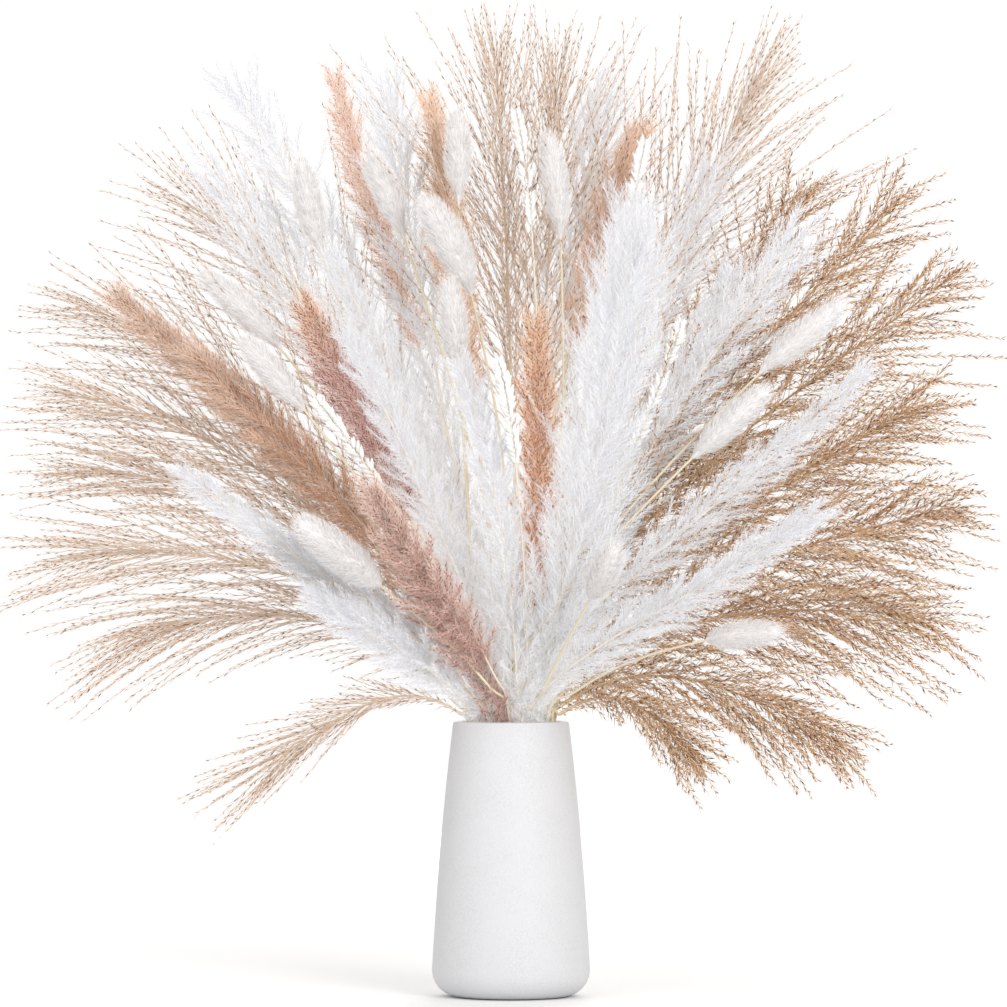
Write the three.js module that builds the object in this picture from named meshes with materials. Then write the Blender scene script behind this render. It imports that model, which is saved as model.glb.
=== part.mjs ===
// Dried grass bouquet standing in a tapered ceramic vase.
// Millimetres, +Z up, origin in the middle of the vase's underside, -Y towards the front.
import * as THREE from 'three';

// ---- vase ----
const vaseHeight = 137;
const rimRadius = 29; // outer radius at the mouth
const bodyRadius = 39.5; // outer radius at its widest, just above the foot
const footCorner = 13; // rounding between the underside and the side
const sideBulge = 1; // how far the side stands out from a straight cone
const wallThickness = 4;
const floorThickness = 6;
const lipRounding = 1.2;
const vaseSegments = 48;
const cornerSteps = 6; // points along each stretch of the vase's outline
const sideSteps = 7;
const lipSteps = 4;
const innerSteps = 6;
const hollowSteps = 4;
const vaseColour = 0xf2f1f0;
const vaseRoughness = 0.75;

// ---- stems ----
const stemRadius = 1.1;
const stemEndGap = 0.3; // between the cut ends and the vase floor
const spacing = 0.5; // air that two stems or heads are given where they meet
const leastSpacing = 0.3; // air that is enough for them to stop moving
const reachScale = 1; // longer or shorter stems throughout
const sidesPerStem = 6;
const stemSteps = 4; // rings between the mouth and the head
const headSteps = 7; // rings along the head
const rimClearance = 3; // between the bunch and the vase wall, at either side of the mouth
const mouthHalfWidth = rimRadius - wallThickness - rimClearance; // the bunch is an ellipse here
const mouthHalfDepth = 12;
const stemRows = 7; // from front to back
const rowTaper = 0.87; // how far the frontmost and the rearmost row reach round the ellipse
const leanPull = 0.2; // mm across the mouth for each degree of lean
const lowestAim = 56; // degrees from upright past which a stem counts as low
const smoothRounds = 60; // rounds of settling in which the stems also straighten,
const settleRounds = 600; // and rounds at most
const footGather = 0.85; // how far the cut ends are drawn in at the vase floor
const stemFollow = 0.5; // how far the stem already leans its own way as it leaves the mouth
const straightHead = 0.6; // the last stretch keeps the head's own lean: a share of the head,
const straightReach = 0.32; // or of the reach if that is longer
const headSwell = 0.085; // a head's thickest radius grows this much per mm of stem above the mouth
const headTaper = 0.7; // below 1 keeps a head fuller towards its tip
const bendDepth = 0.7; // share of the tip's depth that the last bend has
const shortestStem = 0.06; // of the length above the mouth, left free of the head
const ringBunching = 1.4; // above 1 puts more of the stem's rings near the mouth
const pushShare = 0.35; // of the missing air that each of two stems gives way in a round
const leastGrip = 0.15; // keeps a push near the end of a stretch from growing too large
const smoothing = 0.2; // share of the difference from its neighbours that a ring gives up
const sameDepth = 0.5; // two stretches nearer than this keep the order of their tips
const stemRoughness = 0.9;

// ---- the six kinds ----
// radius: the dense core of the head at its thickest. fullest: where that is, from base to tip.
// rise: how far the stem keeps going up before it bends over, as a share of its reach.
// stems: lean from upright (degrees, right is positive), reach from the mouth to the tip,
// depth of the tip behind the middle, length of the head, lean of the head at its tip.
const kinds = {
  white_pampas: {
    colour: 0xf3efec, radius: 7, fullest: 0.4, rise: 0.22,
    stems: [
      [-23.5, 360, 62, 130, -29],
      [-29, 319, 30, 108, -39],
      [-21, 248, -12, 121, -27],
      [-11, 332, 38, 155, -8],
      [-23, 210, -48, 105, -28],
      [-8, 178, -66, 128, -19],
      [8.5, 328, 66, 110, 11],
      [13.5, 257, -72, 210, 7],
      [20, 303, 34, 126, 17],
      [30.5, 286, -22, 150, 33],
      [45, 248, -62, 195, 45],
      [55, 185, -86, 160, 54],
      [-52.5, 205, -86, 180, -52],
      [-57, 117, -74, 100, -57],
      [26, 255, 4, 112, 22],
    ],
  },
  blush_pampas: {
    colour: 0xc79a80, radius: 6, fullest: 0.4, rise: 0.22,
    stems: [
      [-15.5, 346, 84, 115, -16],
      [-7.5, 319, 20, 121, -10],
      [-43, 294, -2, 154, -50],
      [-41, 247, -28, 121, -47],
      [-26.5, 231, -40, 98, -28],
      [-31, 136, -92, 125, -31],
      [3.5, 202, -52, 139, -3],
      [12.5, 308, 48, 80, 24],
    ],
  },
  bunny_tail: {
    colour: 0xf7f3ee, radius: 6.2, fullest: 0.45, rise: 0.25,
    stems: [
      [-34.5, 271, -26, 52, -50],
      [-35, 231, -48, 45, -43],
      [-46, 142, -100, 60, -50],
      [-20.5, 301, 6, 46, -8],
      [-14, 294, -4, 44, -24],
      [-5, 306, -8, 43, 0],
      [-9.5, 263, -30, 51, -37],
      [-8, 220, -42, 44, -7],
      [3.5, 293, -12, 49, -12],
      [38.5, 264, -58, 53, 54],
      [37.5, 207, -62, 50, 49],
      [71, 138, -84, 42, 88],
      [30, 100, -98, 40, 21],
    ],
  },
  spikelet_grass: {
    colour: 0xefe9df, radius: 3, fullest: 0.45, rise: 0.25,
    stems: [
      [0.5, 303, -16, 52, -11],
      [13, 299, 10, 42, 11],
      [-31, 184, -68, 52, -38],
      [-2, 176, -78, 52, -14],
      [23, 214, -44, 68, 18],
    ],
  },
  light_reed: {
    colour: 0xdcc6ad, radius: 2.4, fullest: 0.25, rise: 0.35,
    stems: [
      [-104, 142, -34, 110, -124],
      [-79, 209, 14, 160, -105],
      [-71, 253, -16, 170, -97],
      [-62, 272, 44, 175, -90],
      [-56, 300, 12, 180, -84],
      [-48.5, 326, 56, 170, -80],
      [-33.5, 334, 88, 150, -58],
      [-1.5, 362, 46, 160, -4],
      [4, 354, 92, 150, 3],
      [22, 376, 76, 160, 30],
    ],
  },
  brown_reed: {
    colour: 0xb98d62, radius: 4, fullest: 0.3, rise: 0.35,
    stems: [
      [28.5, 322, 62, 150, 25],
      [36.5, 340, 24, 160, 38],
      [45.5, 341, 70, 165, 52],
      [53, 273, -14, 150, 62],
      [65, 267, 48, 150, 74],
      [77, 228, 6, 150, 95],
      [95, 171, -30, 125, 120],
      [103, 98, -56, 80, 140],
    ],
  },
};

const toRadians = THREE.MathUtils.degToRad;

// Outer radius of the vase side at a height above its foot corner.
function sideRadius(height) {
  const share = (height - footCorner) / (vaseHeight - footCorner);
  return THREE.MathUtils.lerp(bodyRadius, rimRadius, share) + sideBulge * Math.sin(Math.PI * share);
}

// Points along the side, a fixed distance in from its outer face.
function sidePoints(from, to, inset, count) {
  return Array.from({ length: count + 1 }, (_, index) => {
    const height = THREE.MathUtils.lerp(from, to, index / count);
    return new THREE.Vector2(sideRadius(Math.max(height, footCorner)) - inset, height);
  });
}

function makeVase() {
  const cornerCentre = bodyRadius - footCorner;
  const corner = new THREE.EllipseCurve(
    cornerCentre, footCorner, footCorner, footCorner, -Math.PI / 2, 0, false,
  );
  const lipTop = vaseHeight - lipRounding;
  const halfWall = wallThickness / 2;
  const lip = new THREE.EllipseCurve(
    rimRadius - halfWall, lipTop, halfWall, lipRounding, 0, Math.PI, false,
  );
  const innerCorner = footCorner - wallThickness;
  const innerTop = floorThickness + innerCorner;
  const hollow = new THREE.EllipseCurve(
    cornerCentre, innerTop, innerCorner, innerCorner, 0, -Math.PI / 2, true,
  );
  const profile = [
    new THREE.Vector2(0, 0),
    ...corner.getPoints(cornerSteps),
    ...sidePoints(footCorner, lipTop, 0, sideSteps).slice(1, -1),
    ...lip.getPoints(lipSteps),
    ...sidePoints(lipTop, innerTop, wallThickness, innerSteps).slice(1, -1),
    ...hollow.getPoints(hollowSteps),
    new THREE.Vector2(0, floorThickness),
  ];
  const shape = new THREE.LatheGeometry(profile, vaseSegments);
  return shape.rotateX(Math.PI / 2);
}

// Where the head's own line crosses the level of the mouth. Low stems come out at its side.
function aimAcross(stem) {
  const tipX = stem.reach * Math.sin(toRadians(stem.lean));
  const tipRise = stem.reach * Math.cos(toRadians(stem.lean));
  const isLow = Math.abs(stem.tipLean) > lowestAim;
  const aim = isLow ? tipX : tipX - tipRise * Math.tan(toRadians(stem.tipLean));
  return THREE.MathUtils.clamp(aim, -mouthHalfWidth, mouthHalfWidth) + leanPull * stem.lean;
}

// One place at the mouth for each stem: rows from front to back, left to right by aim in a row.
function placeAtMouth(stems) {
  const rowDepths = Array.from({ length: stemRows }, (_, row) => (2 * row) / (stemRows - 1) - 1);
  const rowWidths = rowDepths.map((depth) => Math.sqrt(1 - (rowTaper * depth) ** 2));
  const totalWidth = rowWidths.reduce((sum, width) => sum + width, 0);
  const frontToBack = [...stems].sort((a, b) => a.depth - b.depth);
  let widthSoFar = 0;
  let taken = 0;
  rowWidths.forEach((width, row) => {
    widthSoFar += width;
    const end = Math.round((widthSoFar / totalWidth) * stems.length);
    const members = frontToBack.slice(taken, end).sort((a, b) => aimAcross(a) - aimAcross(b));
    members.forEach((stem, column) => {
      const across = members.length > 1 ? (2 * column) / (members.length - 1) - 1 : 0;
      stem.mouth = new THREE.Vector3(
        across * width * (mouthHalfWidth - stemRadius),
        rowDepths[row] * (mouthHalfDepth - stemRadius),
        vaseHeight,
      );
    });
    taken = end;
  });
}

// Radius of a head's core at a share of its length, from its base to its tip.
function headRadius(stem, share) {
  const { radius, fullest } = stem.kind;
  const body = share < fullest
    ? Math.sin((share / fullest) * (Math.PI / 2))
    : Math.cos(((share - fullest) / (1 - fullest)) * (Math.PI / 2)) ** headTaper;
  return stemRadius + (radius - stemRadius) * body;
}

// The stem's rings: centre points and radii from the cut end to the tip.
function layOut(stem) {
  const lean = toRadians(stem.lean);
  const tipLean = toRadians(stem.tipLean);
  const reach = stem.reach * reachScale;
  const headLength = stem.head * reachScale;
  const tip = new THREE.Vector3(
    reach * Math.sin(lean),
    stem.depth * reachScale,
    vaseHeight + reach * Math.cos(lean),
  );
  const straight = Math.max(straightHead * headLength, straightReach * reach);
  const bend = new THREE.Vector3(
    tip.x - straight * Math.sin(tipLean),
    tip.y * bendDepth,
    tip.z - straight * Math.cos(tipLean),
  );
  const riseLean = lean * stemFollow;
  const rise = new THREE.Vector3(Math.sin(riseLean), 0, Math.cos(riseLean));
  rise.multiplyScalar(stem.kind.rise * reach);
  rise.add(stem.mouth);
  const curve = new THREE.CubicBezierCurve3(stem.mouth, rise, bend, tip);
  const length = curve.getLength();
  const headStart = Math.max(1 - headLength / length, shortestStem);
  const foot = new THREE.Vector3(
    stem.mouth.x * footGather,
    stem.mouth.y * footGather,
    floorThickness + stemEndGap,
  );
  stem.points = [foot, foot.clone(), stem.mouth.clone()];
  stem.radii = [0, stemRadius, stemRadius];
  for (let step = 1; step <= stemSteps; step += 1) {
    const share = headStart * (step / stemSteps) ** ringBunching;
    stem.points.push(curve.getPointAt(share));
    stem.radii.push(stemRadius);
  }
  for (let step = 1; step <= headSteps; step += 1) {
    const share = step / headSteps;
    const along = THREE.MathUtils.lerp(headStart, 1, share);
    const most = stemRadius + headSwell * along * length;
    stem.points.push(curve.getPointAt(along));
    stem.radii.push(step < headSteps ? Math.min(headRadius(stem, share), most) : 0);
  }
  stem.restDepths = stem.points.map((point) => point.y);
}

// Nearest points of two straight stretches, as shares of their lengths.
function nearestShares(a0, a1, b0, b1) {
  const a = new THREE.Vector3().subVectors(a1, a0);
  const b = new THREE.Vector3().subVectors(b1, b0);
  const between = new THREE.Vector3().subVectors(a0, b0);
  const aa = a.dot(a);
  const bb = b.dot(b);
  const ab = a.dot(b);
  const aBetween = a.dot(between);
  const bBetween = b.dot(between);
  const spread = aa * bb - ab * ab;
  const clamp = (value) => Math.min(Math.max(value, 0), 1);
  let onA = spread > 1e-9 * aa * bb ? clamp((ab * bBetween - aBetween * bb) / spread) : 0.5;
  const onB = clamp((ab * onA + bBetween) / bb);
  onA = clamp((ab * onB - aBetween) / aa);
  return [onA, onB];
}

// Moves one stretch of a stem forwards or back, leaving the rings at and below the mouth in place.
function nudge(stem, index, share, amount) {
  const near = index > 2 ? 1 - share : 0;
  const scale = amount / Math.max(near * near + share * share, leastGrip);
  if (index > 2) stem.points[index].y += near * scale;
  stem.points[index + 1].y += share * scale;
}

// True if two stretches are too far apart along one axis to touch.
function clearAlong(axis, a0, a1, b0, b1, room) {
  return Math.min(a0[axis], a1[axis]) - room > Math.max(b0[axis], b1[axis])
    || Math.min(b0[axis], b1[axis]) - room > Math.max(a0[axis], a1[axis]);
}

// Parts two stretches that come too close. Returns true if they were nearly touching.
function partStretches(first, i, second, j) {
  const [a0, a1] = [first.points[i], first.points[i + 1]];
  const [b0, b1] = [second.points[j], second.points[j + 1]];
  const [ra0, ra1] = [first.radii[i], first.radii[i + 1]];
  const [rb0, rb1] = [second.radii[j], second.radii[j + 1]];
  const room = Math.max(ra0, ra1) + Math.max(rb0, rb1) + spacing;
  if (['x', 'z', 'y'].some((axis) => clearAlong(axis, a0, a1, b0, b1, room))) return false;
  const [onA, onB] = nearestShares(a0, a1, b0, b1);
  const pointA = a0.clone().lerp(a1, onA);
  const pointB = b0.clone().lerp(b1, onB);
  const needed = THREE.MathUtils.lerp(ra0, ra1, onA) + THREE.MathUtils.lerp(rb0, rb1, onB) + spacing;
  const distance = pointA.distanceTo(pointB);
  if (distance >= needed) return false;
  const aside = Math.hypot(pointA.x - pointB.x, pointA.z - pointB.z);
  const ahead = pointB.y - pointA.y;
  const tipOrder = Math.sign(second.depth - first.depth) || 1;
  const order = Math.abs(ahead) > sameDepth ? Math.sign(ahead) : tipOrder;
  const missing = Math.sqrt(needed * needed - aside * aside) - order * ahead;
  nudge(first, i, onA, -order * missing * pushShare);
  nudge(second, j, onB, order * missing * pushShare);
  return distance < needed - spacing + leastSpacing;
}

// Lets the stems settle forwards and back until no two of them nearly touch.
function settle(stems) {
  for (let round = 0; round < settleRounds; round += 1) {
    let touching = 0;
    for (let a = 0; a < stems.length; a += 1) {
      for (let b = a + 1; b < stems.length; b += 1) {
        for (let i = 2; i < stems[a].points.length - 1; i += 1) {
          for (let j = 2; j < stems[b].points.length - 1; j += 1) {
            if (partStretches(stems[a], i, stems[b], j)) touching += 1;
          }
        }
      }
    }
    if (touching === 0) return;
    if (round < smoothRounds) stems.forEach(smoothDepths);
  }
}

// Spreads each ring's move over its neighbours, so that the stem bends gently.
function smoothDepths(stem) {
  const moved = stem.points.map((point, index) => point.y - stem.restDepths[index]);
  for (let index = 3; index < stem.points.length; index += 1) {
    const ahead = moved[Math.min(index + 1, moved.length - 1)];
    const even = (moved[index - 1] + ahead) / 2;
    stem.points[index].y += smoothing * (even - moved[index]);
  }
}

// A closed round skin through the stem's rings.
function makeStem(stem) {
  const rings = stem.radii.map((radius, index) => new THREE.Vector2(radius, index));
  const shape = new THREE.LatheGeometry(rings, sidesPerStem);
  const position = shape.attributes.position;
  const place = new THREE.Vector3();
  for (let vertex = 0; vertex < position.count; vertex += 1) {
    const ring = Math.round(position.getY(vertex));
    const ahead = stem.points[Math.min(ring + 1, stem.points.length - 1)];
    const behind = stem.points[Math.max(ring - 1, 0)];
    const along = new THREE.Vector3().subVectors(ahead, behind).normalize();
    const across = new THREE.Vector3(0, 1, 0).cross(along).normalize();
    const inward = new THREE.Vector3().crossVectors(across, along);
    place.copy(stem.points[ring]);
    place.addScaledVector(across, position.getX(vertex));
    place.addScaledVector(inward, position.getZ(vertex));
    position.setXYZ(vertex, place.x, place.y, place.z);
  }
  return shape;
}

function addMesh(group, name, shape, colour, roughness) {
  const material = new THREE.MeshStandardMaterial({ color: colour, roughness, metalness: 0 });
  const mesh = new THREE.Mesh(shape, material);
  mesh.name = name;
  group.add(mesh);
}

const stems = Object.entries(kinds).flatMap(([name, kind]) => kind.stems.map((row, index) => {
  const [lean, reach, depth, head, tipLean] = row;
  return { name: `${name}_${String(index + 1).padStart(2, '0')}`, kind, lean, reach, depth, head, tipLean };
}));
placeAtMouth(stems);
stems.forEach(layOut);
settle(stems);

const bouquet = new THREE.Group();
addMesh(bouquet, 'vase', makeVase(), vaseColour, vaseRoughness);
stems.forEach((stem) => {
  addMesh(bouquet, stem.name, makeStem(stem), stem.kind.colour, stemRoughness);
});

export default bouquet;
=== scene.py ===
import heapq
import math

import bmesh
import bpy
import numpy as np
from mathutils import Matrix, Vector


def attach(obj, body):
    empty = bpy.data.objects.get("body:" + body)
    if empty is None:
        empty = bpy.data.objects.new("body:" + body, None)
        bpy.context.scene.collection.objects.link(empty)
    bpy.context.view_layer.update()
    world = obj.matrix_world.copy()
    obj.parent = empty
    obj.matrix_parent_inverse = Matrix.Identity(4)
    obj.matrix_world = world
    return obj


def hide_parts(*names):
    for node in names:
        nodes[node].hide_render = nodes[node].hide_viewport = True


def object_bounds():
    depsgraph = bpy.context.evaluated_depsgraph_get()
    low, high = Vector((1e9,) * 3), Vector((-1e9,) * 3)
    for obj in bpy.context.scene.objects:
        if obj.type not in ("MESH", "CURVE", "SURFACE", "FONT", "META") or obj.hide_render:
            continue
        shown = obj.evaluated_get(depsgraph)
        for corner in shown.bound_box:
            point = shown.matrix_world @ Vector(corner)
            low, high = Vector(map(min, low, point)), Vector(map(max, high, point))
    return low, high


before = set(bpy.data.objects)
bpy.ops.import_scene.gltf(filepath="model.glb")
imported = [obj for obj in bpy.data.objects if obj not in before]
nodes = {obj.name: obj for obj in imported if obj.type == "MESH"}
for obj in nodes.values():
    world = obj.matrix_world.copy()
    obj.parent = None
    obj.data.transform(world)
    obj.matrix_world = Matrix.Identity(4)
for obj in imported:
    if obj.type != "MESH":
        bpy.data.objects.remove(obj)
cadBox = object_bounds()
print("frame loaded:", len(nodes), "nodes")

mergeDistance = 1e-5
pathDetail = {
    "headSteps": 7,  # the last steps of a stem in the frame are its head
    "pointsPerStep": 7,
    "relaxRounds": 8,  # these round the bend at the mouth
}


def mergedShape(node):
    # the frame's meshes are loose triangles, so a copy is merged before it is walked
    shape = bmesh.new()
    shape.from_mesh(node.data)
    bmesh.ops.remove_doubles(shape, verts=shape.verts, dist=mergeDistance)
    shape.verts.index_update()
    return shape


def walkRings(node):
    # the centres of a tapered tube's rings, from the cut end to the tip
    shape = mergedShape(node)
    lowest = min(shape.verts, key=lambda v: v.co.z)
    reached = {lowest: 0.0}
    queue = [(0.0, lowest.index, lowest)]
    while queue:
        length, _, vert = heapq.heappop(queue)
        for edge in vert.link_edges:
            other = edge.other_vert(vert)
            further = length + edge.calc_length()
            if further < reached.get(other, math.inf) - 1e-9:
                reached[other] = further
                heapq.heappush(queue, (further, other.index, other))
    rings = [[max(reached, key=reached.get)]]
    seen = set(rings[0])
    while len(seen) < len(shape.verts):
        ring = {e.other_vert(v) for v in rings[-1] for e in v.link_edges} - seen
        seen |= ring
        rings.append(sorted(ring, key=lambda v: v.index))
    rings = [ring for i, ring in enumerate(rings) if len(ring) > 2 or i == 0][::-1]
    centres = np.array([np.mean([v.co for v in ring], axis=0) for ring in rings])
    shape.free()
    return centres


def smoothPath(centres):
    # a Catmull-Rom curve through the ring centres, with its share along the head, below 0 on the stem
    steps = len(centres) - 1
    firstHead = steps - pathDetail["headSteps"]
    ahead = np.vstack([2 * centres[0] - centres[1], centres, 2 * centres[-1] - centres[-2]])
    points, shares = [], []
    for step in range(steps):
        p0, p1, p2, p3 = ahead[step:step + 4]
        for i in range(pathDetail["pointsPerStep"]):
            t = i / pathDetail["pointsPerStep"]
            points.append(0.5 * (2 * p1 + (p2 - p0) * t + (2 * p0 - 5 * p1 + 4 * p2 - p3) * t * t
                                 + (3 * p1 - p0 - 3 * p2 + p3) * t ** 3))
            shares.append((step + t - firstHead) / pathDetail["headSteps"])
    points = np.array(points + [centres[-1]])
    for _ in range(pathDetail["relaxRounds"]):
        points[1:-1] = (points[:-2] + 2 * points[1:-1] + points[2:]) / 4
    return points, np.array(shares + [1.0])


def pathMesh(name, points, shares):
    mesh = bpy.data.meshes.new(name)
    mesh.from_pydata([tuple(p) for p in points], [(i, i + 1) for i in range(len(points) - 1)], [])
    mesh.attributes.new("headShare", "FLOAT", "POINT").data.foreach_set("value", shares.astype(np.float32))
    return mesh


# short ways to write a node tree

def link(tree, value, socket):
    if isinstance(value, bpy.types.NodeSocket):
        tree.links.new(value, socket)
    else:
        socket.default_value = value


def place(tree, kind, inputs=None, **settings):
    made = tree.nodes.new(kind)
    for label, value in settings.items():
        setattr(made, label, value)
    for key, value in (inputs or {}).items():
        link(tree, value, made.inputs[key])
    return made


def maths(tree, operation, first, second=0.0, third=0.0, clamp=False):
    return place(tree, "ShaderNodeMath", {0: first, 1: second, 2: third}, operation=operation,
                 use_clamp=clamp).outputs[0]


def scaledBy(tree, value, scale, shift, clamp=False):
    return maths(tree, "MULTIPLY_ADD", value, scale, shift, clamp)


def vectorMaths(tree, operation, first, second=(0, 0, 0), scale=None):
    made = place(tree, "ShaderNodeVectorMath", {0: first, 1: second}, operation=operation)
    if scale is not None:
        link(tree, scale, made.inputs["Scale"])
    return made.outputs[0]


def vector(tree, x, y, z=0.0):
    return place(tree, "ShaderNodeCombineXYZ", {"X": x, "Y": y, "Z": z}).outputs[0]


def named(tree, label, kind="FLOAT"):
    return place(tree, "GeometryNodeInputNamedAttribute", {"Name": label}, data_type=kind).outputs[0]


def store(tree, geometry, label, value, kind="FLOAT", domain="POINT"):
    made = place(tree, "GeometryNodeStoreNamedAttribute", {"Geometry": geometry, "Name": label},
                 data_type=kind, domain=domain)
    link(tree, value, made.inputs["Value"])
    return made.outputs[0]


def randomValue(tree, low, high, seed):
    made = place(tree, "FunctionNodeRandomValue", data_type="FLOAT")
    floats = [s for s in made.inputs if s.type == "VALUE"]
    link(tree, low, floats[0])
    link(tree, high, floats[1])
    link(tree, seed, made.inputs["Seed"])
    return next(s for s in made.outputs if s.type == "VALUE")


def seedRow(tree, given, first, count):
    return [maths(tree, "ADD", given["Seed"], first + i) for i in range(count)]


def turned(tree, rotation, axis, angle):
    turn = place(tree, "FunctionNodeAxisAngleToRotation", {"Axis": axis, "Angle": angle}).outputs[0]
    return place(tree, "FunctionNodeRotateRotation", {"Rotation": rotation, "Rotate By": turn},
                 rotation_space="LOCAL").outputs[0]


def aimedAlong(tree, direction):
    return place(tree, "FunctionNodeAlignRotationToVector", {"Vector": direction}, axis="Z").outputs[0]


def shapedBy(tree, factor, heights):
    # a smooth profile through evenly spaced heights
    made = place(tree, "ShaderNodeFloatCurve", {"Value": factor})
    curve = made.mapping.curves[0]
    while len(curve.points) < len(heights):
        curve.points.new(0.5, 0.5)
    for i, height in enumerate(heights):
        curve.points[i].location = (i / (len(heights) - 1), height)
    made.mapping.update()
    return made.outputs[0]


def newTree(name, inputs):
    tree = bpy.data.node_groups.new(name, "GeometryNodeTree")
    tree.interface.new_socket("Geometry", in_out="OUTPUT", socket_type="NodeSocketGeometry")
    tree.interface.new_socket("Geometry", in_out="INPUT", socket_type="NodeSocketGeometry")
    inputs = inputs + [("Stem Sides", "NodeSocketInt", 6), ("Seed", "NodeSocketInt", 1),
                       ("Material", "NodeSocketMaterial", None)]
    for label, kind, value in inputs:
        socket = tree.interface.new_socket(label, in_out="INPUT", socket_type=kind)
        if value is not None:
            socket.default_value = value
    source = tree.nodes.new("NodeGroupInput")
    target = tree.nodes.new("NodeGroupOutput")
    return tree, source.outputs, target.inputs[0]


def grow(name, mesh, tree, values):
    # runs the tree on a path and keeps the result as a plain mesh
    piece = bpy.data.objects.new(name, mesh)
    bpy.context.scene.collection.objects.link(piece)
    modifier = piece.modifiers.new("grow", "NODES")
    modifier.node_group = tree
    for item in tree.interface.items_tree:
        if item.in_out == "INPUT" and item.name in values:
            modifier[item.identifier] = values[item.name]
    evaluated = piece.evaluated_get(bpy.context.evaluated_depsgraph_get())
    grown = bpy.data.meshes.new_from_object(evaluated)
    piece.modifiers.clear()
    piece.data = grown
    grown.name = name
    return piece


# the UV of every strand says what it is and where it grows, and the material's colours are read off it
uvLayout = {
    "bands": 16,  # across, one for each stretch of a head
    "hairRow": 0.03, "spikeletRow": 0.45, "twigRow": 0.87, "stemRow": 0.95,  # where each kind starts
    "rowGap": 0.02, "shadeHeight": 0.36, "roundHeight": 0.04, "bodyHeight": 0.3,
    "rootMargin": 0.09, "strandLength": 0.82, "strandWidth": 0.03, "strandDepth": 0.015,
    "twigMargin": 0.05, "twigLength": 0.9,
    "stemAcross": (0.49, 0.5), "bodyAcross": (0.98, 0.01),  # from the share along the head to a place across
}
goldenTurn = 2.399963  # radians from one branchlet to the next round the stem


def strandUv(tree, geometry, across, up):
    return store(tree, geometry, "OFBake", vector(tree, across, up), kind="FLOAT2", domain="CORNER")


def bandOf(tree):
    last = uvLayout["bands"] - 0.01
    return maths(tree, "FLOOR", maths(tree, "MULTIPLY", named(tree, "headShare"), last))


def inBand(tree, band, part):
    return maths(tree, "DIVIDE", maths(tree, "ADD", band, part), uvLayout["bands"])


def tubeOver(tree, curve, sides, radius):
    ring = place(tree, "GeometryNodeCurvePrimitiveCircle", {"Resolution": sides, "Radius": 1.0}).outputs[0]
    turn = place(tree, "GeometryNodeSplineParameter").outputs["Factor"]
    ring = store(tree, ring, "around", turn)
    return place(tree, "GeometryNodeCurveToMesh", {"Curve": curve, "Profile Curve": ring, "Scale": radius,
                                                   "Fill Caps": True}).outputs[0]


def roundShare(tree):
    # 1 at a tube's seam, 0 half way round it
    return maths(tree, "ABSOLUTE", scaledBy(tree, named(tree, "around"), 2.0, -1.0))


def springing(tree, axis, opening, jitter, seed):
    # a rotation that leans away from the axis, turned on round it from one neighbour to the next
    spiral = maths(tree, "MULTIPLY", place(tree, "GeometryNodeInputIndex").outputs[0], goldenTurn)
    spiral = maths(tree, "ADD", spiral, randomValue(tree, -jitter, jitter, seed))
    return turned(tree, turned(tree, aimedAlong(tree, axis), (0, 0, 1), spiral), (1, 0, 0), opening)


def stemTube(tree, given):
    whole = place(tree, "GeometryNodeMeshToCurve", {"Mesh": given["Geometry"]}).outputs[0]
    stem = tubeOver(tree, whole, given["Stem Sides"], named(tree, "stemRadius"))
    return strandUv(tree, stem, scaledBy(tree, named(tree, "headShare"), *uvLayout["stemAcross"]),
                    scaledBy(tree, roundShare(tree), uvLayout["roundHeight"], uvLayout["stemRow"]))


def headCurve(tree, given, count):
    # the head's own stretch of the path, as evenly spaced points that know which way the head runs
    inHead = maths(tree, "GREATER_THAN", named(tree, "headShare"), -0.001)
    head = place(tree, "GeometryNodeSeparateGeometry", {"Geometry": given["Geometry"], "Selection": inHead},
                 domain="POINT").outputs["Selection"]
    head = place(tree, "GeometryNodeMeshToCurve", {"Mesh": head}).outputs[0]
    steps = place(tree, "GeometryNodeResampleCurve", {"Curve": head, "Count": count}, mode="COUNT").outputs[0]
    tangent = place(tree, "GeometryNodeInputTangent").outputs[0]
    return store(tree, steps, "axis", tangent, kind="FLOAT_VECTOR")


def finishTree(tree, given, result, smooth, faceted):
    # tubes and bodies are shaded smooth, thin hairs are left faceted
    joined = place(tree, "GeometryNodeJoinGeometry")
    for pieces, isSmooth in ((smooth, True), (faceted, False)):
        for piece in pieces:
            piece = place(tree, "GeometryNodeSetShadeSmooth", {"Geometry": piece, "Shade Smooth": isSmooth})
            tree.links.new(piece.outputs[0], joined.inputs[0])
    made = place(tree, "GeometryNodeRealizeInstances", {"Geometry": joined.outputs[0]}).outputs[0]
    made = place(tree, "GeometryNodeSetMaterial", {"Geometry": made, "Material": given["Material"]})
    tree.links.new(made.outputs[0], result)
    return tree


def hairShape(tree):
    return place(tree, "GeometryNodeMeshCone", {
        "Vertices": 3, "Radius Top": 0.0, "Radius Bottom": 1.0, "Depth": 1.0}).outputs["Mesh"]


def spindleShape(tree, segments, rings, shift):
    # a ball drawn out to a length of one, from its root at the origin
    ball = place(tree, "GeometryNodeMeshUVSphere", {
        "Segments": segments, "Rings": rings, "Radius": 1.0}).outputs["Mesh"]
    return place(tree, "GeometryNodeTransform", {
        "Geometry": ball, "Translation": (shift, 0, 0.5), "Scale": (1, 1, 0.5)}).outputs[0]


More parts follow.
